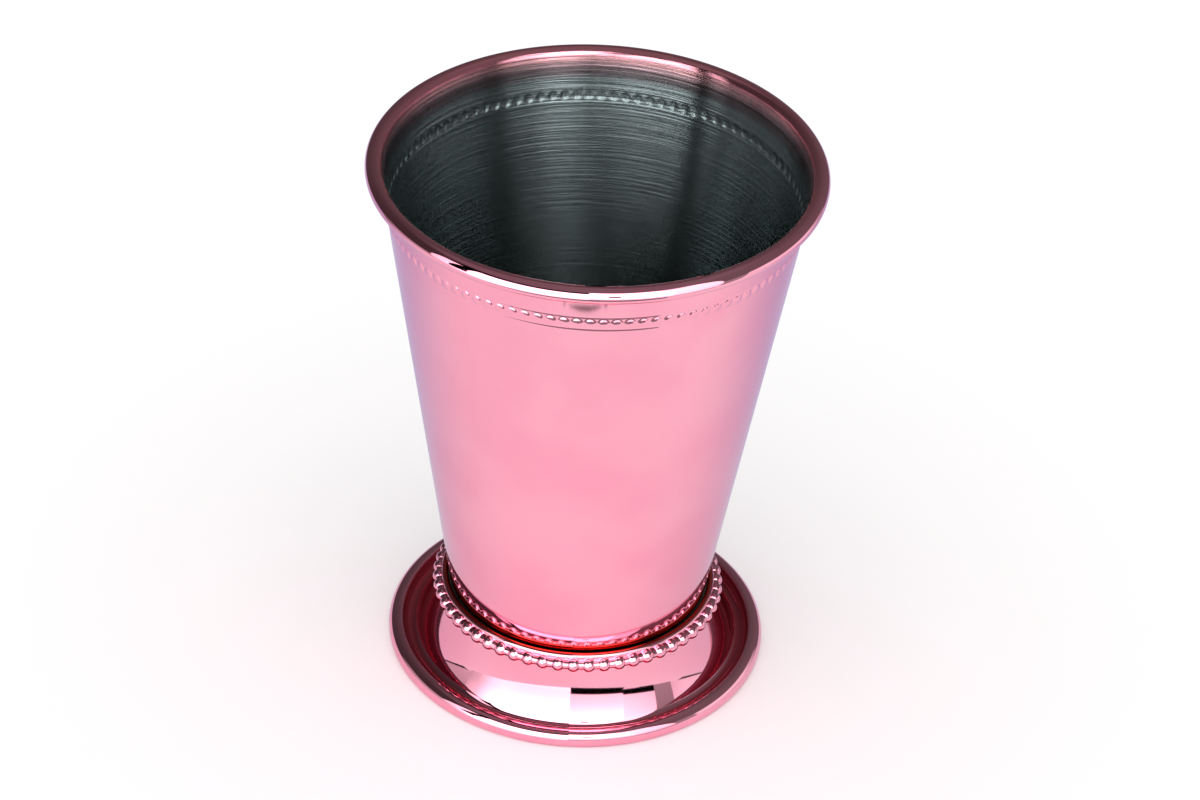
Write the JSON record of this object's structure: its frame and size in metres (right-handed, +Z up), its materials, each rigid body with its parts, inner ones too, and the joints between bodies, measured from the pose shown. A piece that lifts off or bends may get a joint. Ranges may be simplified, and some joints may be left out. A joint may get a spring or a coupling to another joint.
{
  "type": "julep cup",
  "caption": "Footed julep cup: tapered metal beaker with a rolled lip and embossed dotted band, on a hollow trumpet foot with a beaded shoulder.",
  "frame": {"origin": "centre of the foot's resting edge, on the surface that the cup stands on", "axes": "+Z up along the cup's axis; the cup is round, so -Y is only the side that the picture was taken from"},
  "size_m": [0.0892, 0.0892, 0.114],
  "materials": {
    "cup_plating": "mirror-polished pink plating outside and over the lip, bare brushed steel inside",
    "foot_plating": "mirror-polished pink plating",
    "solder": "dull grey soft solder, left as it set"
  },
  "bodies": {
    "root": {"cup_body": "cup_plating", "foot": "foot_plating", "solder_ring": "solder"}
  },
  "joints": []
}
